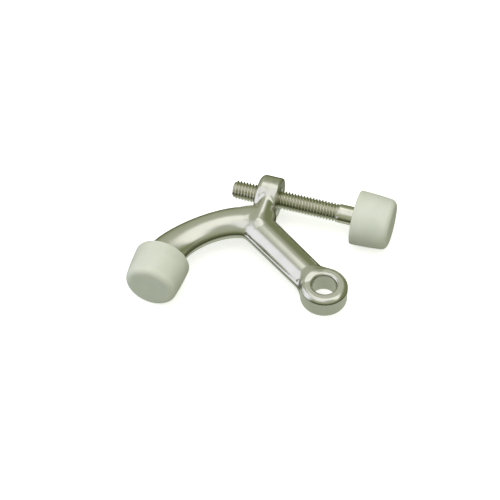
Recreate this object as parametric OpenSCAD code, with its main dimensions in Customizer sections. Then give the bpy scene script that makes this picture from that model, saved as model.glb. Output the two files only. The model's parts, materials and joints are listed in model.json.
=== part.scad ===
// Hinge-pin door stop: one cast body with an eye for the hinge pin, a straight arm,
// a threaded boss and a curved arm; an adjusting screw in the boss; two rubber bumpers.
// Millimetres. Origin: centre of the hinge-pin bore. +Z: along that bore.
// +X: along the adjusting screw, towards its bumper.

/* [Hinge eye] */
// Outside diameter of the eye
eye_d = 14.2; // [14:0.1:16]
// Height of the eye along the hinge pin
eye_h = 7.4; // [6.6:0.1:9]
// Radius of the eye's outer edges
eye_round = 1.5; // [1:0.1:2]
// Diameter of the bore that drops over the hinge pin
pin_bore_d = 7.3; // [6.4:0.1:7.6]
// Radius of the bore's two mouths
bore_round = 0.9; // [0.4:0.1:1]

/* [Straight arm] */
// X of the place where the straight arm, the curved arm and the neck meet
fork_x = -29.4; // [-32:0.1:-27]
// Y of the same place
fork_y = 20.5; // [19:0.1:22]
// Width of the straight arm at the eye
arm_w_eye = 10.4; // [9:0.1:12]
// Width of the straight arm at the fork
arm_w_fork = 11.1; // [10:0.1:12.5]
// Thickness of the straight arm along the hinge pin
arm_t = 8; // [6:0.1:8.6]

/* [Screw boss] */
// X of the middle of the boss
boss_x = -27.2; // [-28:0.1:-26]
// Y of the screw's axis
screw_y = 32.2; // [31:0.1:34]
// Outside diameter of the boss
boss_d = 13.5; // [12:0.1:15]
// Length of the boss along the screw
boss_l = 7; // [6:0.1:9]
// Radius of the boss's edge on the slotted end's side
boss_round_back = 1.6; // [0.8:0.1:2]
// Radius of the boss's edge on the bumper's side
boss_round_front = 0.6; // [0.3:0.1:1]

/* [Curved arm] */
// X of the curved arm's end, which is the axis of its bumper
tip_x = -50.4; // [-54:0.1:-48]
// Y of the curved arm's end face, where its bumper starts
tip_y = -2.8; // [-5:0.1:0]
// Width of the curved arm at the fork
curve_w_fork = 13.4; // [11:0.1:14]
// Width of the curved arm half way along
curve_w_mid = 9.9; // [9:0.1:11]
// Width of the curved arm at its end
curve_w_tip = 13.2; // [11:0.1:14]
// Thickness of the curved arm at the fork
curve_t_fork = 7; // [6:0.1:8]
// Thickness of the curved arm at its end
curve_t_tip = 8.2; // [7:0.1:9]

/* [Adjusting screw] */
// Thread diameter over the crests
screw_d = 5.9; // [5.6:0.05:5.95]
// Thread pitch
screw_pitch = 1; // [0.9:0.05:1.1]
// X of the slotted end
screw_x0 = -38.9; // [-42:0.1:-36]
// Length of the thread
thread_l = 35; // [32:0.1:36]
// Diameter of the plain shank between the thread and the bumper
shank_d = 6; // [6:0.05:6.3]
// Diameter of the head inside the bumper
head_d = 10.6; // [9:0.1:11]
// Thickness of the head
head_t = 1.8; // [1.2:0.1:2.4]
// Width of the screwdriver slot
slot_w = 0.9; // [0.7:0.1:1.2]
// Depth of the screwdriver slot
slot_depth = 1.2; // [0.8:0.1:1.6]
// Turn of the slot about the screw's axis
slot_turn = 130; // [0:5:175]

/* [Bumpers] */
// Diameter of a bumper at its open end
bumper_d_back = 17.3; // [16.4:0.1:19]
// Diameter of a bumper just behind its rounded front edge
bumper_d_front = 16.2; // [14:0.1:16.4]
// Length of a bumper
bumper_l = 11.9; // [11:0.1:14]
// Radius of a bumper's front edge
bumper_round = 2.1; // [1:0.1:2.5]
// X of the open end of the screw's bumper
bumper_x = 1.2; // [0:0.1:3]
// Length of the cast peg that holds the curved arm's bumper
peg_l = 7.6; // [6:0.1:8]
// Diameter of that peg
peg_d = 7.6; // [6:0.1:8]

/* [Fits] */
// Radial clearance of the screw in the boss and in its bumper
run_gap = 0.1; // [0.08:0.01:0.12]
// Clearance round the screw's head inside its bumper
head_gap = 0.2; // [0.1:0.05:0.3]
// Clearance between the peg and its bumper
peg_gap = 0.05; // [0.03:0.01:0.1]

/* [Hidden] */

$fn = 64;
EYE_R = eye_d / 2;
EYE_HALF = eye_h / 2;
BOSS_HALF = boss_l / 2;
// Where the straight arm starts, inside the eye's wall
ARM_START = 5;
// Sides of an arm's cross-section and its squareness: 2 is an ellipse, more is boxier
ARM_SIDES = 28;
STRAIGHT_POWER = 2;
CURVED_POWER = 2.2;
// Rings along the curved arm
CURVE_RINGS = 16;
// Steps in a rounded edge's quarter circle
EDGE_STEPS = 6;
// Curved arm: where its centre line starts, which way, and how far its handles pull
CURVE_START = [fork_x + 3.9, fork_y - 1.1];
CURVE_START_DIR = [cos(162), sin(162)];
CURVE_START_PULL = 10.2;
CURVE_TIP_PULL = 9.6;
TIP_DIR = [0, -1];
// The neck runs down from the boss into the straight arm, nearer to the boss's front face
NECK_X = boss_x + 0.7;
NECK_Y = fork_y - 1.5;
// Its width at the arm and at the boss, and its thickness at both
NECK_W_ARM = 6.8;
NECK_W_BOSS = 5.8;
NECK_T_ARM = arm_t + 0.6;
NECK_T_BOSS = 12;
// 60 degree thread: its flats on the crests and in the roots, and its depth between them
CREST_FLAT = 0.125 * screw_pitch;
ROOT_FLAT = 0.25 * screw_pitch;
THREAD_DEPTH = (screw_pitch - CREST_FLAT - ROOT_FLAT) / 2 / tan(30);
// Straight pieces in one turn of the thread
THREAD_STEPS = 20;
SCREW_R = screw_d / 2;
// Chamfers of the tapped hole's mouths and of the screw's slotted end
HOLE_CHAMFER = 0.5;
END_CHAMFER = 0.8;
// Depth of the screw's head below its bumper's open end
HEAD_DEPTH = 5;
// How far the peg's barb stands out, its length, and how far the peg tapers in beyond it
BARB_OUT = 0.9;
BARB_L = 1.6;
PEG_TAPER = 0.6;
// Radius of a bumper's edge at its open end
BUMPER_RIM_ROUND = 0.4;
// How far a solid runs past a face, so that a cut or a join goes right through it
OVERRUN = 0.5;

// Points of a quarter circle that rounds a corner at [r, z], from angle a to a + 90
function edge_arc(r, z, radius, a) = [
    for (i = [0:EDGE_STEPS]) [
        r + radius * cos(a + 90 * i / EDGE_STEPS),
        z + radius * sin(a + 90 * i / EDGE_STEPS)
    ]
];

// Position and direction on a cubic curve
function bezier(p, t) =
    pow(1 - t, 3) * p[0] + 3 * pow(1 - t, 2) * t * p[1]
    + 3 * (1 - t) * t * t * p[2] + pow(t, 3) * p[3];
function bezier_dir(p, t) =
    let (
        d = pow(1 - t, 2) * (p[1] - p[0])
            + 2 * (1 - t) * t * (p[2] - p[1])
            + t * t * (p[3] - p[2])
    )
    d / norm(d);

// A value that runs from a over b half way to c
function through(a, b, c, t) =
    (1 - t) * (1 - 2 * t) * a + 4 * t * (1 - t) * b + t * (2 * t - 1) * c;

function sign_pow(v, e) = sign(v) * pow(abs(v), e);

// One cross-section ring: centre and direction in plan, width, thickness, squareness
function ring(centre, dir, w, t, power) = [
    for (i = [0:ARM_SIDES - 1])
        let (
            a = 360 * (i + 0.5) / ARM_SIDES,
            side = w / 2 * sign_pow(cos(a), 2 / power),
            up = t / 2 * sign_pow(sin(a), 2 / power)
        )
        [centre.x - dir.y * side, centre.y + dir.x * side, up]
];

// A closed solid through a list of rings
module loft(rings) {
    n = len(rings[0]);
    points = [for (r = rings) for (p = r) p];
    sides = [
        for (k = [0:len(rings) - 2]) for (i = [0:n - 1])
            let (
                j = (i + 1) % n,
                a = k * n,
                b = (k + 1) * n
            )
            for (f = [[a + i, b + i, a + j], [b + i, b + j, a + j]])
                f
    ];
    start_cap = [for (i = [0:n - 1]) i];
    end_cap = [for (i = [n - 1:-1:0]) (len(rings) - 1) * n + i];
    polyhedron(points = points, faces = concat(sides, [start_cap, end_cap]), convexity = 6);
}

module eye() {
    bore_r = pin_bore_d / 2;
    rotate_extrude()
        polygon(concat(
            edge_arc(EYE_R - eye_round, EYE_HALF - eye_round, eye_round, 0),
            edge_arc(bore_r + bore_round, EYE_HALF - bore_round, bore_round, 90),
            edge_arc(bore_r + bore_round, -EYE_HALF + bore_round, bore_round, 180),
            edge_arc(EYE_R - eye_round, -EYE_HALF + eye_round, eye_round, 270)
        ));
}

module straight_arm() {
    fork = [fork_x, fork_y];
    dir = fork / norm(fork);
    loft([
        ring(dir * ARM_START, dir, arm_w_eye, arm_t, STRAIGHT_POWER),
        ring(fork, dir, arm_w_fork, arm_t, STRAIGHT_POWER)
    ]);
}

module neck() {
    dir = [0, 1];
    loft([
        ring([NECK_X, NECK_Y], dir, NECK_W_ARM, NECK_T_ARM, CURVED_POWER),
        ring([NECK_X, screw_y], dir, NECK_W_BOSS, NECK_T_BOSS, CURVED_POWER)
    ]);
}

module boss() {
    r = boss_d / 2;
    translate([boss_x, screw_y, 0])
        rotate([0, 90, 0])
            rotate_extrude()
                polygon(concat(
                    [[0, BOSS_HALF]],
                    [[0, -BOSS_HALF]],
                    edge_arc(r - boss_round_back, -BOSS_HALF + boss_round_back, boss_round_back, 270),
                    edge_arc(r - boss_round_front, BOSS_HALF - boss_round_front, boss_round_front, 0)
                ));
}

module curved_arm() {
    tip = [tip_x, tip_y];
    path = [
        CURVE_START,
        CURVE_START + CURVE_START_DIR * CURVE_START_PULL,
        tip - TIP_DIR * CURVE_TIP_PULL,
        tip
    ];
    loft([
        for (k = [0:CURVE_RINGS])
            let (
                t = k / CURVE_RINGS,
                w = through(curve_w_fork, curve_w_mid, curve_w_tip, t),
                h = curve_t_fork + (curve_t_tip - curve_t_fork) * t
            )
            ring(bezier(path, t), bezier_dir(path, t), w, h, CURVED_POWER)
    ]);
}

// The peg on the curved arm's end, along +Z from its root; grow fattens it all round
module peg(grow) {
    r = peg_d / 2;
    barb_r = r + BARB_OUT;
    rotate_extrude()
        polygon([
            [0, -OVERRUN],
            [r + grow, -OVERRUN],
            [r + grow, peg_l - 2 * BARB_L - grow],
            [barb_r + grow, peg_l - 2 * BARB_L - grow],
            [barb_r + grow, peg_l - BARB_L],
            [r - PEG_TAPER + grow, peg_l + grow],
            [0, peg_l + grow]
        ]);
}

module at_tip() {
    translate([tip_x, tip_y, 0])
        rotate([90, 0, 0])
            children();
}

// A right-hand thread along +Z with a solid core. A crest passes angle 0 at z = 0.
// grow widens it all round, to cut the thread that it turns in.
module thread(turns, grow = 0) {
    n = THREAD_STEPS;
    last = n * turns;
    crest = CREST_FLAT / 2 + grow / 2;
    root = screw_pitch / 2 - ROOT_FLAT / 2 + grow / 2;
    crest_r = SCREW_R + grow;
    root_r = crest_r - THREAD_DEPTH;
    profile = [
        [crest_r, -crest],
        [crest_r, crest],
        [root_r, root],
        [root_r, screw_pitch - root]
    ];
    points = concat(
        [
            for (i = [0:last]) for (p = profile)
                let (a = 360 * i / n)
                [p.x * cos(a), p.x * sin(a), p.y + screw_pitch * i / n]
        ],
        [[0, 0, -screw_pitch], [0, 0, (turns + 2) * screw_pitch]]
    );
    low = len(points) - 2;
    high = len(points) - 1;
    // Corner k of step i; corner 4 is corner 0 of the next turn
    function at(i, k) = k < 4 ? 4 * i + k : 4 * (i + n);
    skin = [
        for (i = [0:last - 1]) for (k = [0:i < last - n ? 3 : 2])
            let (
                a = at(i, k),
                b = at(i, k + 1),
                c = at(i + 1, k + 1),
                d = at(i + 1, k)
            )
            for (f = [[a, b, c], [a, c, d]])
                f
    ];
    low_end = concat(
        [for (i = [0:n - 1]) [at(i, 0), at(i + 1, 0), low]],
        [for (k = [0:3]) [at(0, k + 1), at(0, k), low]]
    );
    high_end = concat(
        [for (i = [last - n:last - 1]) [at(i + 1, 3), at(i, 3), high]],
        [for (k = [0:2]) [at(last, k), at(last, k + 1), high]],
        [[at(last - n, 3), at(last, 0), high]]
    );
    polyhedron(points = points, faces = concat(skin, low_end, high_end), convexity = 10);
}

// Tapped hole along the screw's axis with a chamfer at each face of the boss.
// It starts a whole number of pitches from the screw's end, so the two threads mesh.
module tapped_hole() {
    cone_l = HOLE_CHAMFER + THREAD_DEPTH;
    mouth_r = SCREW_R + run_gap + HOLE_CHAMFER;
    back_pitches = floor((boss_x - BOSS_HALF - screw_x0) / screw_pitch) - 1;
    turns = ceil(boss_l / screw_pitch) + 2;
    translate([screw_x0 + back_pitches * screw_pitch, screw_y, 0])
        rotate([0, 90, 0])
            thread(turns, run_gap);
    for (side = [-1, 1])
        translate([boss_x + side * BOSS_HALF, screw_y, 0])
            rotate([0, side * 90, 0])
                translate([0, 0, -cone_l])
                    cylinder(r1 = mouth_r - cone_l, r2 = mouth_r + OVERRUN, h = cone_l + OVERRUN);
}

module casting() {
    color([0.70, 0.70, 0.66])
        difference() {
            union() {
                eye();
                straight_arm();
                neck();
                boss();
                curved_arm();
                at_tip()
                    peg(0);
            }
            tapped_hole();
        }
}

module adjusting_screw() {
    head_x = bumper_x + HEAD_DEPTH - screw_x0;
    turns = floor(thread_l / screw_pitch) + 1;
    color([0.62, 0.61, 0.53])
        translate([screw_x0, screw_y, 0])
            rotate([0, 90, 0])
                difference() {
                    union() {
                        intersection() {
                            translate([0, 0, -2 * screw_pitch])
                                thread(turns + 2);
                            union() {
                                cylinder(
                                    r1 = SCREW_R - END_CHAMFER,
                                    r2 = SCREW_R + 2 * OVERRUN,
                                    h = END_CHAMFER + 2 * OVERRUN
                                );
                                translate([0, 0, END_CHAMFER + OVERRUN])
                                    cylinder(r = SCREW_R + OVERRUN, h = thread_l);
                            }
                        }
                        translate([0, 0, thread_l])
                            cylinder(d = shank_d, h = head_x - thread_l + head_t / 2);
                        translate([0, 0, head_x])
                            cylinder(d = head_d, h = head_t);
                    }
                    rotate([0, 0, slot_turn])
                        cube([2 * screw_d, slot_w, 2 * slot_depth], center = true);
                }
}

// The rubber cap's outside, along +Z from its open end
module bumper_body() {
    front_r = bumper_d_front / 2;
    back_r = bumper_d_back / 2;
    rotate_extrude()
        polygon(concat(
            [[0, bumper_l]],
            [[0, 0]],
            edge_arc(back_r - BUMPER_RIM_ROUND, BUMPER_RIM_ROUND, BUMPER_RIM_ROUND, 270),
            edge_arc(front_r - bumper_round, bumper_l - bumper_round, bumper_round, 0)
        ));
}

module screw_bumper() {
    color([0.83, 0.84, 0.78])
        translate([bumper_x, screw_y, 0])
            rotate([0, 90, 0])
                difference() {
                    bumper_body();
                    translate([0, 0, -OVERRUN])
                        cylinder(d = shank_d + 2 * run_gap, h = HEAD_DEPTH + 2 * OVERRUN);
                    translate([0, 0, HEAD_DEPTH - head_gap])
                        cylinder(d = head_d + 2 * head_gap, h = head_t + 2 * head_gap);
                }
}

module arm_bumper() {
    color([0.83, 0.84, 0.78])
        at_tip()
            difference() {
                bumper_body();
                peg(peg_gap);
            }
}

casting();
adjusting_screw();
screw_bumper();
arm_bumper();
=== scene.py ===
"""Hinge-pin door stop: a cast satin-nickel body, a plated adjusting screw and two rubber bumpers.

Sizes are in millimetres, as in the CAD, and become metres when a mesh is made.
The casting and the screw are skinned from distance fields: a field gives each point's distance
to the surface, below zero inside, so that cast edges and fillets are true rounds.
"""
import json
import math

import bpy
import numpy as np
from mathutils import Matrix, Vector


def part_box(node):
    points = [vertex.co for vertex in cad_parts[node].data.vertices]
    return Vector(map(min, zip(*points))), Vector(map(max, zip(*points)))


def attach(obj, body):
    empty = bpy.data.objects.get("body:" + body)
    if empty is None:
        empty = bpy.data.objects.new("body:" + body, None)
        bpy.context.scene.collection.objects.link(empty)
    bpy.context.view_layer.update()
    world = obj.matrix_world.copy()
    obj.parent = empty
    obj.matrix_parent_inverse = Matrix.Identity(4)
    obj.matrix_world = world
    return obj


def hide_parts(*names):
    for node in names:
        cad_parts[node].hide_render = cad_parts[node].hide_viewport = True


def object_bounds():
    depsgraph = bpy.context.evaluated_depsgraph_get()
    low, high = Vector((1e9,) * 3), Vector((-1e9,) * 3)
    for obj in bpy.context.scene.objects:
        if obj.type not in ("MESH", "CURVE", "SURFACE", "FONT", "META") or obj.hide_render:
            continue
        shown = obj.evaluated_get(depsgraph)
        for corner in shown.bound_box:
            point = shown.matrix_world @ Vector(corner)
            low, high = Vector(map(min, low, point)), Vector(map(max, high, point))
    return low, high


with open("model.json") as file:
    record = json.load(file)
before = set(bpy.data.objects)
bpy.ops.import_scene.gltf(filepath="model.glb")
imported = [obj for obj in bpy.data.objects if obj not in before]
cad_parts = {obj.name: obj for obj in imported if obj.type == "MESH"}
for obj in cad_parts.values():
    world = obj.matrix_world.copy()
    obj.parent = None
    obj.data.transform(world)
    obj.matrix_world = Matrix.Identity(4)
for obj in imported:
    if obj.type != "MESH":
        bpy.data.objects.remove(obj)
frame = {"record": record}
CAD_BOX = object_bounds()
MM = 0.001


def box_mm(node):
    """Low and high corners of a CAD node, in millimetres."""
    return [np.array(corner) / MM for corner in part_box(node)]


# Places that the frame gives, in millimetres
MOUNTS = {m["name"]: m for m in frame["record"]["mounts"]}
BORE_R = MOUNTS["hinge_pin_bore"]["dims"]["r_mm"]
CASTING_LOW, CASTING_HIGH = box_mm("casting")
SCREW_LOW, SCREW_HIGH = box_mm("adjusting_screw")
SCREW_CAP_LOW = box_mm("screw_bumper")[0]
ARM_CAP_LOW, ARM_CAP_HIGH = box_mm("arm_bumper")
SCREW_Y = (SCREW_LOW[1] + SCREW_HIGH[1]) / 2
TIP_X = (ARM_CAP_LOW[0] + ARM_CAP_HIGH[0]) / 2
TIP_Y = ARM_CAP_HIGH[1]

# Casting. Pairs and triples of half-sizes run from an arm's start to its end
EYE_R = 7.1
EYE_HALF = 3.7
EYE_ROUND = 1.5
MOUTH_ROUND = 0.8
FORK = (-29.4, 20.5)
ARM_START = 5.5
ARM_HALF_W_EYE = 5.2
ARM_HALF_W_FORK = 5.55
ARM_HALF_T = 4.0
ARM_POWER = 2.0
BOSS_X = -27.2
BOSS_R = 6.75
BOSS_HALF = 3.5
BOSS_ROUND_BACK = 1.6
BOSS_ROUND_FRONT = 0.6
NECK_X = BOSS_X + 0.7
NECK_Y = FORK[1] - 1.5
NECK_HALF_W = (3.4, 2.9)
NECK_HALF_T = (4.4, 6.0)
CURVE_START = (FORK[0] + 3.9, FORK[1] - 1.1)
CURVE_START_ANGLE = math.radians(162)
CURVE_START_PULL = 10.2
CURVE_TIP_PULL = 9.6
CURVE_HALF_W = (6.7, 4.95, 6.6)
CURVE_HALF_T = (3.8, 4.1)
CURVE_POWER = 2.1
# How much an arm's round start is squashed, so that it stays inside what it grows from
START_BLUNT = 2.4
EYE_FILLET = 2.0
NECK_FILLET = 1.2
CURVE_FILLET = 0.8
TIP_EDGE_ROUND = 0.4
HOLE_ROUND = 0.3
PEG_R = 3.8
PEG_L = 7.6
PEG_ROUND = 0.5
PEG_ROOT = 1.0
BARB_OUT = 0.9
BARB_L = 1.6
BARB_ROUND = 0.3

# Adjusting screw, from its slotted end
PITCH = 1.0
THREAD_R = 2.95
THREAD_DEPTH = 0.54
THREAD_L = 35.0
CREST_FLAT = 0.125
ROOT_FLAT = 0.25
THREAD_SOFTNESS = 0.4
SHANK_R = 3.0
END_CHAMFER = 0.8
SLOT_W = 0.9
SLOT_DEPTH = 1.2
SLOT_TURN = math.radians(130)
HEAD_R = 5.3
HEAD_T = 1.8
HEAD_EDGE = 0.25
HEAD_DEPTH = 5.0
RUN_GAP = 0.1

# Rubber bumpers, from their open end
CAP_BACK_R = 8.65
CAP_FRONT_R = 8.1
CAP_L = 11.9
CAP_ROUND = 2.1
CAP_RIM_ROUND = 0.5
CAP_BARREL = 0.12
CAP_CROWN = 0.05
CAP_HOLE_ROUND = 0.3
HEAD_GAP = 0.2
PEG_GAP = 0.05

# Fineness of the meshes
CASTING_STEP = 0.25
CASTING_MARGIN = 1.5
SCREW_AROUND = 96
RINGS_PER_PITCH = 16
SHANK_START = 0.5
SHANK_RINGS = 10


# ---------------------------------------------------------------- distance fields

def union(a, b, fillet):
    """Both solids, with their inner corner filled by about that radius."""
    near = np.maximum(fillet - np.abs(a - b), 0) / fillet
    return np.minimum(a, b) - near * near * fillet / 4


def cut_round(a, b, radius):
    """Where both are below zero, with the edge between them rounded."""
    over = np.hypot(np.maximum(a + radius, 0), np.maximum(b + radius, 0))
    return np.minimum(-radius, np.maximum(a, b)) + over


def section(side, up, half_w, half_t, power):
    """Distance from an oval cross-section; power 2 is an ellipse, more is boxier."""
    s = np.abs(side) / half_w
    u = np.abs(up) / half_t
    size = np.maximum((s ** power + u ** power) ** (1 / power), 1e-4)
    slope = np.hypot(s ** (power - 1) / half_w, u ** (power - 1) / half_t) / size ** (power - 1)
    return (size - 1) / slope


def between(low, high, t):
    """A value that runs evenly from low to high."""
    return low + (high - low) * t


def through(a, b, c, t):
    """A value that runs from a over b half way to c."""
    return (1 - t) * (1 - 2 * t) * a + 4 * t * (1 - t) * b + t * (2 * t - 1) * c


def straight_bar(p, start, end, half_w, half_t, power, blunt=1.0):
    """A bar between two points in plan, its ends round in plan; blunt squashes the start."""
    start, end = np.array(start), np.array(end)
    length = np.linalg.norm(end - start)
    direction = (end - start) / length
    along = (p[:, :2] - start) @ direction
    side = (p[:, :2] - start) @ np.array([-direction[1], direction[0]])
    t = np.clip(along / length, 0, 1)
    past = along - t * length
    side = np.hypot(side, np.where(past < 0, blunt * past, past))
    return section(side, p[:, 2], between(*half_w, t), between(*half_t, t), power)


def nearest_on_curve(p, handles, samples=24, steps=4):
    """Parameter of the nearest point on a cubic curve in plan."""
    c = [np.array(h, float) for h in handles]
    k3 = c[3] - 3 * c[2] + 3 * c[1] - c[0]
    k2 = 3 * (c[2] - 2 * c[1] + c[0])
    k1 = 3 * (c[1] - c[0])
    grid = np.linspace(0, 1, samples)[:, None]
    points = ((k3 * grid + k2) * grid + k1) * grid + c[0]
    gap = (p[:, None, 0] - points[None, :, 0]) ** 2 + (p[:, None, 1] - points[None, :, 1]) ** 2
    t = grid[gap.argmin(1), 0]
    for _ in range(steps):
        tt = t[:, None]
        away = ((k3 * tt + k2) * tt + k1) * tt + c[0] - p
        first = (3 * k3 * tt + 2 * k2) * tt + k1
        second = 6 * k3 * tt + 2 * k2
        bend = (first * first).sum(1) + (away * second).sum(1)
        bend = np.maximum(bend, 0.3 * (first * first).sum(1))
        t = np.clip(t - (away * first).sum(1) / bend, 0, 1)
    tt = t[:, None]
    centre = ((k3 * tt + k2) * tt + k1) * tt + c[0]
    direction = (3 * k3 * tt + 2 * k2) * tt + k1
    direction /= np.linalg.norm(direction, axis=1)[:, None]
    return t, centre, direction


def curved_bar(p):
    """The curved arm, ended by a flat face at its bumper."""
    start = np.array(CURVE_START)
    pull = CURVE_START_PULL * np.array([math.cos(CURVE_START_ANGLE), math.sin(CURVE_START_ANGLE)])
    tip = np.array([TIP_X, TIP_Y])
    handles = [start, start + pull, tip + np.array([0, CURVE_TIP_PULL]), tip]
    t, centre, direction = nearest_on_curve(p[:, :2], handles)
    off = p[:, :2] - centre
    side = off[:, 0] * -direction[:, 1] + off[:, 1] * direction[:, 0]
    past = (off * direction).sum(1)
    side = np.hypot(side, np.where(t > 0.5, 0, START_BLUNT * past))
    half_w = through(*CURVE_HALF_W, t)
    half_t = between(*CURVE_HALF_T, t)
    bar = section(side, p[:, 2], half_w, half_t, CURVE_POWER)
    return cut_round(bar, TIP_Y - p[:, 1], TIP_EDGE_ROUND)


def boss(p):
    """The screw's boss: a disc across X with unlike edges."""
    r = np.hypot(p[:, 1] - SCREW_Y, p[:, 2]) - BOSS_R
    x = p[:, 0] - BOSS_X
    back = cut_round(r, -x - BOSS_HALF, BOSS_ROUND_BACK)
    front = cut_round(r, x - BOSS_HALF, BOSS_ROUND_FRONT)
    return np.maximum(back, front)


def peg(p):
    """The peg with a barb inside the curved arm's bumper."""
    r = np.hypot(p[:, 0] - TIP_X, p[:, 2])
    depth = TIP_Y - p[:, 1]
    stem = np.maximum(cut_round(r - PEG_R, depth - PEG_L, PEG_ROUND), -depth - PEG_ROOT)
    middle = PEG_L - 1.5 * BARB_L
    barb = cut_round(r - PEG_R - BARB_OUT, np.abs(depth - middle) - BARB_L / 2, BARB_ROUND)
    return np.minimum(stem, barb)


def casting_field(p):
    """The whole casting: eye, arms, neck, boss and peg, then the two holes."""
    r = np.hypot(p[:, 0], p[:, 1])
    eye = cut_round(r - EYE_R, np.abs(p[:, 2]) - EYE_HALF, EYE_ROUND)
    start = ARM_START * np.array(FORK) / math.hypot(*FORK)
    widths, thicknesses = (ARM_HALF_W_EYE, ARM_HALF_W_FORK), (ARM_HALF_T, ARM_HALF_T)
    arm = straight_bar(p, start, FORK, widths, thicknesses, ARM_POWER, START_BLUNT)
    start, end = (NECK_X, NECK_Y), (NECK_X, SCREW_Y)
    neck = straight_bar(p, start, end, NECK_HALF_W, NECK_HALF_T, ARM_POWER)
    screw_r = np.hypot(p[:, 1] - SCREW_Y, p[:, 2])
    solid = union(eye, arm, EYE_FILLET)
    solid = union(solid, union(neck, boss(p), NECK_FILLET), NECK_FILLET)
    solid = union(solid, curved_bar(p), CURVE_FILLET)
    solid = np.minimum(solid, peg(p))
    solid = cut_round(solid, BORE_R - r, MOUTH_ROUND)
    return cut_round(solid, THREAD_R + RUN_GAP - screw_r, HOLE_ROUND)


# ---------------------------------------------------------------- skinning a field

CORNERS = np.array([(i, j, k) for i in (0, 1) for j in (0, 1) for k in (0, 1)])
# Grid steps in one block, and the most points that a field is given at once
BLOCK = 4
BATCH = 200000


def sample(field, low, counts, step):
    """The field on a grid. Only blocks that the surface may cross are worked out finely."""
    blocks = -(-(counts - 1) // BLOCK)
    coarse_axes = [low[a] + step * BLOCK * np.arange(blocks[a] + 1) for a in range(3)]
    coarse = np.stack(np.meshgrid(*coarse_axes, indexing="ij"), -1).reshape(-1, 3)
    value = field(coarse).reshape(blocks + 1)
    closest = np.full(blocks, np.inf)
    for c in CORNERS:
        corner = value[tuple(slice(o, o + n) for o, n in zip(c, blocks))]
        closest = np.minimum(closest, np.abs(corner))
    near = closest < 1.5 * step * BLOCK
    for axis in range(3):
        near = near.repeat(BLOCK, axis)
        value = value.repeat(BLOCK, axis)
    fine = value[tuple(slice(0, n * BLOCK + 1) for n in blocks)].copy()
    wanted = np.zeros(fine.shape, bool)
    for c in CORNERS:
        wanted[tuple(slice(o, o + n * BLOCK) for o, n in zip(c, blocks))] |= near
    index = np.argwhere(wanted)
    for part in np.array_split(index, max(1, len(index) // BATCH)):
        fine[tuple(part.T)] = field(low + step * part)
    return fine


def surface_net(value, low, step):
    """One vertex in each cell that the surface crosses, joined by quads."""
    inside = value < 0
    cells = np.array(value.shape) - 1
    count = np.zeros(cells, np.int8)
    for c in CORNERS:
        count += inside[tuple(slice(o, o + n) for o, n in zip(c, cells))]
    mixed = np.argwhere((count > 0) & (count < 8))
    number = np.full(cells, -1)
    number[tuple(mixed.T)] = np.arange(len(mixed))
    total = np.zeros((len(mixed), 3))
    crossings = np.zeros(len(mixed))
    for a in range(3):
        for start in CORNERS[CORNERS[:, a] == 0]:
            end = start + np.eye(3, dtype=int)[a]
            v0 = value[tuple((mixed + start).T)]
            v1 = value[tuple((mixed + end).T)]
            cross = (v0 < 0) != (v1 < 0)
            share = np.where(cross, v0 / np.where(cross, v0 - v1, 1), 0)
            total += cross[:, None] * (start + share[:, None] * (end - start))
            crossings += cross
    points = low + step * (mixed + total / crossings[:, None])
    quads = []
    for a in range(3):
        b, c = (a + 1) % 3, (a + 2) % 3
        first = [slice(0, n) for n in value.shape]
        first[a] = slice(0, value.shape[a] - 1)
        second = list(first)
        second[a] = slice(1, value.shape[a])
        changes = inside[tuple(first)] != inside[tuple(second)]
        edge = np.argwhere(changes)
        for side in (b, c):
            edge = edge[(edge[:, side] > 0) & (edge[:, side] < cells[side])]
        corner = []
        for db, dc in ((1, 1), (0, 1), (0, 0), (1, 0)):
            cell = edge.copy()
            cell[:, b] -= db
            cell[:, c] -= dc
            corner.append(number[tuple(cell.T)])
        quad = np.stack(corner, 1)
        inward = ~inside[tuple(edge.T)]
        quad[inward] = quad[inward, ::-1]
        quads.append(quad)
    return points, np.concatenate(quads)


def gradient(field, points, reach=0.01):
    """Slope of the field at each point, from four taps."""
    taps = np.array([(1, -1, -1), (-1, -1, 1), (-1, 1, -1), (1, 1, 1)])
    total = np.zeros_like(points)
    for tap in taps:
        total += tap * field(points + reach * tap)[:, None]
    return total / (4 * reach)


def settle(field, points, step, rounds=2):
    """Moves each point onto the surface along the field's slope, by at most step each round."""
    for _ in range(rounds):
        slope = gradient(field, points)
        squared = np.maximum((slope * slope).sum(1), 0.05)
        move = slope * (field(points) / squared)[:, None]
        size = np.linalg.norm(move, axis=1)
        points = points - move * np.minimum(1, step / np.maximum(size, 1e-9))[:, None]
    return points


def relax(points, quads):
    """Evens out the quads by drawing each vertex half way to its neighbours' middle."""
    total = np.zeros_like(points)
    count = np.zeros(len(points))
    for k in range(4):
        a, b = quads[:, k], quads[:, (k + 1) % 4]
        np.add.at(total, a, points[b])
        np.add.at(count, a, 1)
    return points + 0.5 * (total / count[:, None] - points)


def skin(field, low, high, step):
    """Vertices, quads and normals of a field's surface, in millimetres."""
    low = np.array(low) - 2 * step
    counts = np.ceil((np.array(high) + 2 * step - low) / step).astype(int) + 1
    points, quads = surface_net(sample(field, low, counts, step), low, step)
    points = settle(field, points, step)
    for _ in range(2):
        points = settle(field, relax(points, quads), step)
    normals = gradient(field, points)
    normals /= np.maximum(np.linalg.norm(normals, axis=1), 1e-9)[:, None]
    return points, quads, normals


# ---------------------------------------------------------------- meshes

def make_object(name, points, faces, normals=None):
    """A smooth-shaded object from points in millimetres."""
    mesh = bpy.data.meshes.new(name)
    mesh.from_pydata((np.asarray(points) * MM).tolist(), [], [list(map(int, f)) for f in faces])
    mesh.validate()
    mesh.polygons.foreach_set("use_smooth", [True] * len(mesh.polygons))
    if normals is not None:
        mesh.normals_split_custom_set_from_vertices(normals.tolist())
    mesh.update()
    piece = bpy.data.objects.new(name, mesh)
    bpy.context.scene.collection.objects.link(piece)
    return piece


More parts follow.
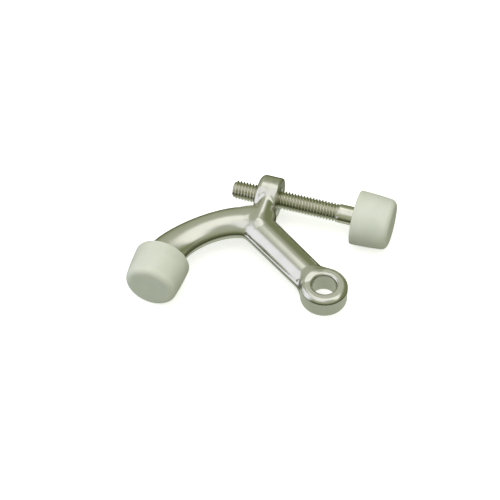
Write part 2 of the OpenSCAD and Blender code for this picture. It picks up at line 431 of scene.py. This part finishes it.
def make_casting():
    """The casting's mesh, from its field."""
    low, high = CASTING_LOW - CASTING_MARGIN, CASTING_HIGH + CASTING_MARGIN
    points, quads, normals = skin(casting_field, low, high, CASTING_STEP)
    return make_object("cast_body", points, quads, normals)


def thread_profile(x, angle):
    """Radius of the screw at a distance from its slotted end, for a right-hand thread."""
    turn = (x / PITCH - angle / (2 * math.pi)) % 1.0
    out = np.abs(turn - 0.5) * 2
    flank = np.clip((out - ROOT_FLAT) / (1 - ROOT_FLAT - CREST_FLAT), 0, 1)
    soft = flank * flank * (3 - 2 * flank)
    radius = THREAD_R - THREAD_DEPTH * (1 - between(flank, soft, THREAD_SOFTNESS))
    runout = np.clip((x - THREAD_L + PITCH) / PITCH, 0, 1)
    radius = between(radius, SHANK_R, runout)
    return np.minimum(radius, THREAD_R - END_CHAMFER + np.maximum(x, 0))


def make_screw():
    """The screw as rings along its length: thread, plain shank, then the head in its bumper."""
    around = SCREW_AROUND
    head_x = SCREW_CAP_LOW[0] + HEAD_DEPTH - SCREW_LOW[0]
    stations = np.concatenate([
        np.arange(0, THREAD_L + 0.01, PITCH / RINGS_PER_PITCH),
        np.linspace(THREAD_L + SHANK_START, head_x, SHANK_RINGS),
    ])
    angles = np.linspace(0, 2 * math.pi, around, endpoint=False)
    rings = [(x, thread_profile(np.full(around, x), angles)) for x in stations]
    rings += [
        (head_x, np.full(around, HEAD_R - HEAD_EDGE)),
        (head_x + HEAD_EDGE, np.full(around, HEAD_R)),
        (head_x + HEAD_T - HEAD_EDGE, np.full(around, HEAD_R)),
        (head_x + HEAD_T, np.full(around, HEAD_R - HEAD_EDGE)),
    ]
    points = [(SCREW_LOW[0], SCREW_Y, 0)]
    for x, radius in rings:
        for a, r in zip(angles, radius):
            points.append((SCREW_LOW[0] + x, SCREW_Y - r * math.sin(a), r * math.cos(a)))
    points.append((SCREW_LOW[0] + head_x + HEAD_T, SCREW_Y, 0))
    faces = []
    for k in range(len(rings) - 1):
        for i in range(around):
            j = (i + 1) % around
            a, b = 1 + k * around, 1 + (k + 1) * around
            faces.append((a + j, a + i, b + i, b + j))
    last = 1 + (len(rings) - 1) * around
    faces += [(0, 1 + i, 1 + (i + 1) % around) for i in range(around)]
    faces += [(len(points) - 1, last + (i + 1) % around, last + i) for i in range(around)]
    screw = make_object("adjusting_screw_body", points, faces)
    cut_slot(screw)
    return screw


def cut_slot(screw):
    """Cuts the screwdriver slot into the screw's end with a blade."""
    bpy.ops.mesh.primitive_cube_add(size=1)
    blade = bpy.context.object
    blade.scale = (2 * SLOT_DEPTH * MM, SLOT_W * MM, 4 * THREAD_R * MM)
    blade.rotation_euler = (SLOT_TURN, 0, 0)
    blade.location = (SCREW_LOW[0] * MM, SCREW_Y * MM, 0)
    cut = screw.modifiers.new("slot", "BOOLEAN")
    cut.operation = "DIFFERENCE"
    cut.solver = "EXACT"
    cut.object = blade
    bpy.context.view_layer.objects.active = screw
    bpy.ops.object.modifier_apply(modifier=cut.name)
    bpy.data.objects.remove(blade)


def arc(r, depth, radius, start, steps=8):
    """A quarter circle of a lathe outline, from start degrees."""
    angles = np.radians(start + 90 * np.arange(steps + 1) / steps)
    return [(r + radius * math.cos(a), depth + radius * math.sin(a)) for a in angles]


def lathe(name, outline, place, around=128):
    """Turns an outline of (radius, depth); place makes a point of two offsets and a depth."""
    angles = np.linspace(0, 2 * math.pi, around, endpoint=False)
    points, rows = [], []
    for r, depth in outline:
        if r < 1e-6:
            rows.append([len(points)] * around)
            points.append(place(0, 0, depth))
        else:
            rows.append(list(range(len(points), len(points) + around)))
            points += [place(r * math.cos(a), r * math.sin(a), depth) for a in angles]
    faces = []
    for k in range(len(rows) - 1):
        upper, lower = rows[k], rows[k + 1]
        for i in range(around):
            j = (i + 1) % around
            face = [upper[i], upper[j], lower[j], lower[i]]
            face = [v for n, v in enumerate(face) if v != face[n - 1]]
            if len(face) > 2:
                faces.append(face)
    return make_object(name, points, faces)


def cap_outline(socket):
    """Outline of a bumper: its socket, the rim, a slightly barrelled side, the front face."""
    side = []
    for t in np.linspace(0.08, 0.92, 12):
        depth = between(CAP_RIM_ROUND, CAP_L - CAP_ROUND, t)
        radius = between(CAP_BACK_R, CAP_FRONT_R, t) + CAP_BARREL * math.sin(math.pi * t)
        side.append((radius, depth))
    face = []
    for r in np.linspace(CAP_FRONT_R - CAP_ROUND, 0, 14):
        face.append((r, CAP_L + CAP_CROWN * (1 - (r / CAP_FRONT_R) ** 2)))
    return (
        socket
        + arc(CAP_BACK_R - CAP_RIM_ROUND, CAP_RIM_ROUND, CAP_RIM_ROUND, 270)
        + side
        + arc(CAP_FRONT_R - CAP_ROUND, CAP_L - CAP_ROUND, CAP_ROUND, 0)[:-1]
        + face
    )


def make_screw_cap():
    """The bumper on the screw, with the cavity that its head turns in."""
    hole = SHANK_R + RUN_GAP
    cavity = HEAD_R + HEAD_GAP
    front = HEAD_DEPTH + HEAD_T + HEAD_GAP
    back = HEAD_DEPTH - HEAD_GAP
    mouth = arc(hole + CAP_HOLE_ROUND, CAP_HOLE_ROUND, CAP_HOLE_ROUND, 180)
    socket = [(0, front), (cavity, front), (cavity, back), (hole, back)] + mouth

    def place(a, b, depth):
        return SCREW_CAP_LOW[0] + depth, SCREW_Y + a, b

    return lathe("screw_cap", cap_outline(socket), place)


def make_arm_cap():
    """The bumper on the curved arm, with the cavity that the barbed peg fills."""
    stem = PEG_R + PEG_GAP
    barb = stem + BARB_OUT
    front = PEG_L + PEG_GAP
    barb_front = front - BARB_L
    barb_back = PEG_L - 2 * BARB_L - PEG_GAP
    socket = [
        (0, front),
        (stem, front),
        (stem, barb_front),
        (barb, barb_front),
        (barb, barb_back),
        (stem, barb_back),
        (stem, 0),
    ]

    def place(a, b, depth):
        return TIP_X + a, TIP_Y - depth, b

    return lathe("arm_cap", cap_outline(socket), place)


# ---------------------------------------------------------------- node sums

def add_math(nodes, links, operation, *values):
    """One step of arithmetic; each value is a number or another node's output."""
    node = nodes.new("ShaderNodeMath")
    node.operation = operation
    for socket, value in zip(node.inputs, values):
        if isinstance(value, (int, float)):
            socket.default_value = value
        else:
            links.new(value, socket)
    return node.outputs[0]


def vector_math(nodes, links, operation, vector, value=None):
    """The outputs of one step of vector arithmetic, with a fixed second vector if it needs one."""
    node = nodes.new("ShaderNodeVectorMath")
    node.operation = operation
    links.new(vector, node.inputs[0])
    if value is not None:
        node.inputs[1].default_value = value
    return node.outputs


def dot(nodes, links, vector, direction):
    """How far a vector goes in a fixed direction."""
    return vector_math(nodes, links, "DOT_PRODUCT", vector, direction)["Value"]


# ---------------------------------------------------------------- materials

def new_material(name):
    """A material with its nodes, links and shader, and the object's own coordinates."""
    material = bpy.data.materials.new(name)
    material.use_nodes = True
    nodes, links = material.node_tree.nodes, material.node_tree.links
    shader = nodes["Principled BSDF"]
    place = nodes.new("ShaderNodeTexCoord")
    return material, nodes, links, shader, place.outputs["Object"]


def noise(nodes, links, vector, scale, detail):
    """A cloudy value around 0.5; scale is in turns per metre."""
    node = nodes.new("ShaderNodeTexNoise")
    node.inputs["Scale"].default_value = scale
    node.inputs["Detail"].default_value = detail
    links.new(vector, node.inputs["Vector"])
    return node.outputs["Fac"]


def ramp(nodes, links, value, low, high, start=0.3, end=0.7):
    """Colours between low and high as the value goes from start to end."""
    node = nodes.new("ShaderNodeValToRGB")
    node.color_ramp.elements[0].position = start
    node.color_ramp.elements[0].color = (*low, 1)
    node.color_ramp.elements[1].position = end
    node.color_ramp.elements[1].color = (*high, 1)
    links.new(value, node.inputs["Fac"])
    return node.outputs["Color"]


def span(nodes, links, value, low, high):
    """A number between low and high as a noise goes through the middle of its range."""
    node = nodes.new("ShaderNodeMapRange")
    node.inputs["From Min"].default_value = 0.25
    node.inputs["From Max"].default_value = 0.75
    node.inputs["To Min"].default_value = low
    node.inputs["To Max"].default_value = high
    links.new(value, node.inputs["Value"])
    return node.outputs["Result"]


def bump(nodes, links, shader, height, distance, strength):
    """Raises the shader's surface by height, from 0 to distance in metres."""
    node = nodes.new("ShaderNodeBump")
    node.inputs["Strength"].default_value = strength
    node.inputs["Distance"].default_value = distance
    links.new(height, node.inputs["Height"])
    links.new(node.outputs["Normal"], shader.inputs["Normal"])


def satin_nickel():
    """Cast zinc under satin nickel: a fine grain, with faint waves left by polishing."""
    material, nodes, links, shader, place = new_material("satin_nickel")
    shader.inputs["Metallic"].default_value = 1.0
    cloud = noise(nodes, links, place, scale=160, detail=4)
    colour = ramp(nodes, links, cloud, (0.70, 0.69, 0.64), (0.76, 0.75, 0.70))
    links.new(colour, shader.inputs["Base Color"])
    grain = noise(nodes, links, place, scale=2600, detail=3)
    links.new(span(nodes, links, grain, 0.15, 0.21), shader.inputs["Roughness"])
    bump(nodes, links, shader, grain, distance=0.000004, strength=0.5)
    return material


# Colour painted into the thread's roots as shade
ROOT_PAINTED_SHADE = (0.52, 0.51, 0.40)
# How far under the crests the painted root shade has faded out to the plain plating colour
ROOT_SHADE_DEPTH = 0.15


def plated_steel():
    """Zinc-plated steel, with shade painted into the roots of its thread as a darker base colour.
    """
    material, nodes, links, shader, place = new_material("plated_steel")
    shader.inputs["Metallic"].default_value = 1.0
    cloud = noise(nodes, links, place, scale=500, detail=4)
    plating = ramp(nodes, links, cloud, (0.70, 0.69, 0.60), (0.80, 0.79, 0.70))
    axis = (0, SCREW_Y * MM, 0)
    offset = vector_math(nodes, links, "SUBTRACT", place, axis)["Vector"]
    across = vector_math(nodes, links, "MULTIPLY", offset, (0, 1, 1))["Vector"]
    radius = vector_math(nodes, links, "LENGTH", across)["Value"]
    # Painted shade: the base colour darkens from the crests down into the thread's roots
    height = nodes.new("ShaderNodeMapRange")
    height.inputs["From Min"].default_value = (THREAD_R - THREAD_DEPTH) * MM
    height.inputs["From Max"].default_value = (THREAD_R - ROOT_SHADE_DEPTH) * MM
    links.new(radius, height.inputs["Value"])
    root_shade_mix = nodes.new("ShaderNodeMix")
    root_shade_mix.data_type = "RGBA"
    links.new(height.outputs["Result"], root_shade_mix.inputs["Factor"])
    root_shade_mix.inputs["A"].default_value = (*ROOT_PAINTED_SHADE, 1)
    links.new(plating, root_shade_mix.inputs["B"])
    links.new(root_shade_mix.outputs["Result"], shader.inputs["Base Color"])
    grain = noise(nodes, links, place, scale=3000, detail=3)
    links.new(span(nodes, links, grain, 0.08, 0.14), shader.inputs["Roughness"])
    bump(nodes, links, shader, grain, distance=0.000004, strength=0.4)
    return material


def pale_rubber():
    """Slightly see-through off-white rubber with a soft moulded skin."""
    material, nodes, links, shader, place = new_material("pale_rubber")
    cloud = noise(nodes, links, place, scale=220, detail=4)
    colour = ramp(nodes, links, cloud, (0.69, 0.71, 0.64), (0.75, 0.76, 0.70))
    links.new(colour, shader.inputs["Base Color"])
    shader.inputs["Subsurface Weight"].default_value = 0.6
    shader.inputs["Subsurface Radius"].default_value = (1.0, 1.0, 0.8)
    shader.inputs["Subsurface Scale"].default_value = 0.002
    shader.inputs["IOR"].default_value = 1.45
    grain = noise(nodes, links, place, scale=1800, detail=3)
    links.new(span(nodes, links, grain, 0.42, 0.55), shader.inputs["Roughness"])
    bump(nodes, links, shader, grain, distance=0.00001, strength=0.5)
    return material


def floor_paper():
    """Plain pale paper that glows a little, so that shadows on it stay faint."""
    material, nodes, links, shader, place = new_material("floor_paper")
    shader.inputs["Roughness"].default_value = 0.9
    shader.inputs["Specular IOR Level"].default_value = 0.0
    grain = noise(nodes, links, place, scale=60, detail=3)
    colour = ramp(nodes, links, grain, (0.93, 0.93, 0.93), (0.95, 0.95, 0.95))
    links.new(colour, shader.inputs["Base Color"])
    shader.inputs["Emission Color"].default_value = (1, 1, 1, 1)
    shader.inputs["Emission Strength"].default_value = 0.55
    return material


# ---------------------------------------------------------------- light, camera, floor

def soft_edge(nodes, links, value, edge, softness, sign):
    """0 to 1 across an edge: it rises past the edge with sign 1 and falls with sign -1."""
    node = nodes.new("ShaderNodeMapRange")
    node.interpolation_type = "SMOOTHSTEP"
    node.inputs["From Min"].default_value = edge - softness
    node.inputs["From Max"].default_value = edge + softness
    node.inputs["To Min"].default_value = 0.0 if sign > 0 else 1.0
    node.inputs["To Max"].default_value = 1.0 if sign > 0 else 0.0
    links.new(value, node.inputs["Value"])
    return node.outputs["Result"]


def heading(azimuth, elevation):
    """A direction: azimuth 0 is +Y, 90 is +X, 180 the camera's side."""
    a, e = math.radians(azimuth), math.radians(elevation)
    return Vector((math.sin(a) * math.cos(e), math.cos(a) * math.cos(e), math.sin(e)))


def panel(nodes, links, vector, below, name, colour, centre, side, edges):
    """A soft-edged panel on the dome, laid over what is below it.

    centre is its direction and side is the way that its side axis runs; its up axis is square to
    both. edges are (place, softness) of its low and high side edges, then of its low and high up
    edges, as tangents from the centre.
    """
    centre, side = Vector(centre).normalized(), Vector(side).normalized()
    up = centre.cross(side)
    depth = dot(nodes, links, vector, centre)
    cover = add_math(nodes, links, "GREATER_THAN", depth, 0.0)
    for axis, (low, high) in ((side, edges[:2]), (up, edges[2:])):
        place = add_math(nodes, links, "DIVIDE", dot(nodes, links, vector, axis), depth)
        for (edge, softness), sign in ((low, 1), (high, -1)):
            fade = soft_edge(nodes, links, place, edge, softness, sign)
            cover = add_math(nodes, links, "MULTIPLY", cover, fade)
    mix = nodes.new("ShaderNodeMix")
    mix.label = name
    mix.data_type = "RGBA"
    links.new(cover, mix.inputs["Factor"])
    links.new(below, mix.inputs["A"])
    mix.inputs["B"].default_value = (*colour, 1)
    return mix.outputs["Result"]


# The room from straight down to straight up: height on the dome and colour
ROOM = (
    (-1.00, (0.50, 0.54, 0.44)),
    (-0.76, (0.50, 0.54, 0.44)),
    (-0.70, (0.07, 0.08, 0.04)),
    (-0.48, (0.08, 0.09, 0.04)),
    (-0.19, (0.18, 0.20, 0.11)),
    (0.09, (0.33, 0.36, 0.24)),
    (0.34, (0.43, 0.46, 0.34)),
    (0.72, (0.49, 0.52, 0.41)),
    (1.00, (0.46, 0.48, 0.42)),
)
# Panels over it, in the order in which they are laid: name, colour, centre, side and edges
PANELS = (
    ("dark_back_right", (0.22, 0.25, 0.13), (0.6, 0.8, 0.3), (-0.8, 0.6, 0),
     ((-1.6, 0.5), (1.0, 0.3), (-0.7, 0.2), (0.62, 0.3))),
    ("left_softbox", (1.06, 1.08, 1.15), (-1, 0, 0), (0, -1, 0),
     ((-0.20, 0.14), (1.0, 0.5), (-0.68, 0.2), (1.55, 0.12))),
    ("front_softbox", (1.02, 1.03, 1.02), (0, 0, 1), (1, 0, 0),
     ((-0.53, 0.06), (0.26, 0.14), (-1.0, 0.45), (0.14, 0.1))),
    ("overhead_softbox", (1.14, 1.16, 1.07), (0, 0, 1), (0.934, -0.357, 0),
     ((-0.55, 0.03), (1.6, 0.5), (0.06, 0.16), (0.59, 0.05))),
)
CAMERA_BACKDROP = (1.0, 1.0, 1.0)
# Lamps: name, azimuth, elevation, distance, size, power and colour
LAMPS = (
    ("overhead", 180, 75, 0.8, 0.6, 1.7, (1.0, 0.99, 0.96)),
    ("right_fill", 90, 10, 0.6, 0.5, 0.5, (1.0, 1.0, 1.0)),
    ("front_fill", 185, 8, 0.6, 0.5, 0.45, (0.9, 1.0, 1.0)),
)
# Camera: degrees to the right of the front and up, metres away, and its aim from the middle
CAMERA_AZIMUTH = 17.73
CAMERA_ELEVATION = 49.09
CAMERA_DISTANCE = 0.4240
CAMERA_AIM = (-0.0032, -0.00405, 0)
CAMERA_LENS = 99.1
CAMERA_SENSOR = 36
FLOOR_HALF = 4.0


def studio_world():
    """A dim room with soft panels lights the object. The camera itself sees a pale backdrop."""
    world = bpy.data.worlds.new("studio")
    bpy.context.scene.world = world
    world.use_nodes = True
    nodes, links = world.node_tree.nodes, world.node_tree.links
    nodes.clear()
    vector = nodes.new("ShaderNodeTexCoord").outputs["Generated"]
    height = dot(nodes, links, vector, (0, 0, 1))
    room = nodes.new("ShaderNodeValToRGB")
    elements = room.color_ramp.elements
    while len(elements) < len(ROOM):
        elements.new(0.5)
    for element, (z, colour) in zip(elements, ROOM):
        element.position = (z + 1) / 2
        element.color = (*colour, 1)
    links.new(add_math(nodes, links, "MULTIPLY_ADD", height, 0.5, 0.5), room.inputs["Fac"])
    look = room.outputs["Color"]
    for row in PANELS:
        look = panel(nodes, links, vector, look, *row)
    seen = nodes.new("ShaderNodeMix")
    seen.data_type = "RGBA"
    links.new(nodes.new("ShaderNodeLightPath").outputs["Is Camera Ray"], seen.inputs["Factor"])
    links.new(look, seen.inputs["A"])
    seen.inputs["B"].default_value = (*CAMERA_BACKDROP, 1)
    background = nodes.new("ShaderNodeBackground")
    links.new(seen.outputs["Result"], background.inputs["Color"])
    output = nodes.new("ShaderNodeOutputWorld")
    links.new(background.outputs["Background"], output.inputs["Surface"])


def aim(thing, direction):
    """Turns a lamp or a camera to look in a direction."""
    thing.rotation_euler = Vector(direction).to_track_quat("-Z", "Y").to_euler()


def area_light(target, name, azimuth, elevation, distance, size, watts, colour):
    """A square lamp that lights matt surfaces and shows in no reflection."""
    data = bpy.data.lights.new(name, "AREA")
    data.shape = "SQUARE"
    data.size = size
    data.energy = watts
    data.color = colour
    lamp = bpy.data.objects.new(name, data)
    toward = heading(azimuth, elevation)
    lamp.location = target + toward * distance
    aim(lamp, -toward)
    lamp.visible_glossy = False
    bpy.context.scene.collection.objects.link(lamp)


def add_floor():
    """The sheet under the object. It is left out of reflections and of light off other things."""
    size, low = FLOOR_HALF, CAD_BOX[0].z
    corners = [(-size, -size, low), (size, -size, low), (size, size, low), (-size, size, low)]
    mesh = bpy.data.meshes.new("floor")
    mesh.from_pydata(corners, [], [(0, 1, 2, 3)])
    floor = bpy.data.objects.new("floor", mesh)
    bpy.context.scene.collection.objects.link(floor)
    floor.data.materials.append(floor_paper())
    floor.visible_glossy = False
    floor.visible_diffuse = False


def add_camera(middle):
    """The camera looks down at 49 degrees, from a little to the right of the front."""
    data = bpy.data.cameras.new("camera")
    data.lens = CAMERA_LENS
    data.sensor_width = CAMERA_SENSOR
    camera = bpy.data.objects.new("camera", data)
    back = heading(180 - CAMERA_AZIMUTH, CAMERA_ELEVATION)
    camera.location = middle + Vector(CAMERA_AIM) + back * CAMERA_DISTANCE
    aim(camera, -back)
    bpy.context.scene.collection.objects.link(camera)
    bpy.context.scene.camera = camera


# ---------------------------------------------------------------- build

middle = (CAD_BOX[0] + CAD_BOX[1]) / 2
add_camera(middle)
nickel, steel, rubber = satin_nickel(), plated_steel(), pale_rubber()
for piece, body, node, slot, material in (
    (make_casting(), "body", "casting", "satin_nickel", nickel),
    (make_screw(), "screw", "adjusting_screw", "plated_steel", steel),
    (make_screw_cap(), "screw_tip", "screw_bumper", "pale_rubber", rubber),
    (make_arm_cap(), "body", "arm_bumper", "pale_rubber", rubber),
):
    piece.data.materials.append(material)
    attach(piece, body)
    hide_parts(node)

studio_world()
add_floor()
for lamp in LAMPS:
    area_light(middle, *lamp)
bpy.context.scene.view_settings.view_transform = "Standard"
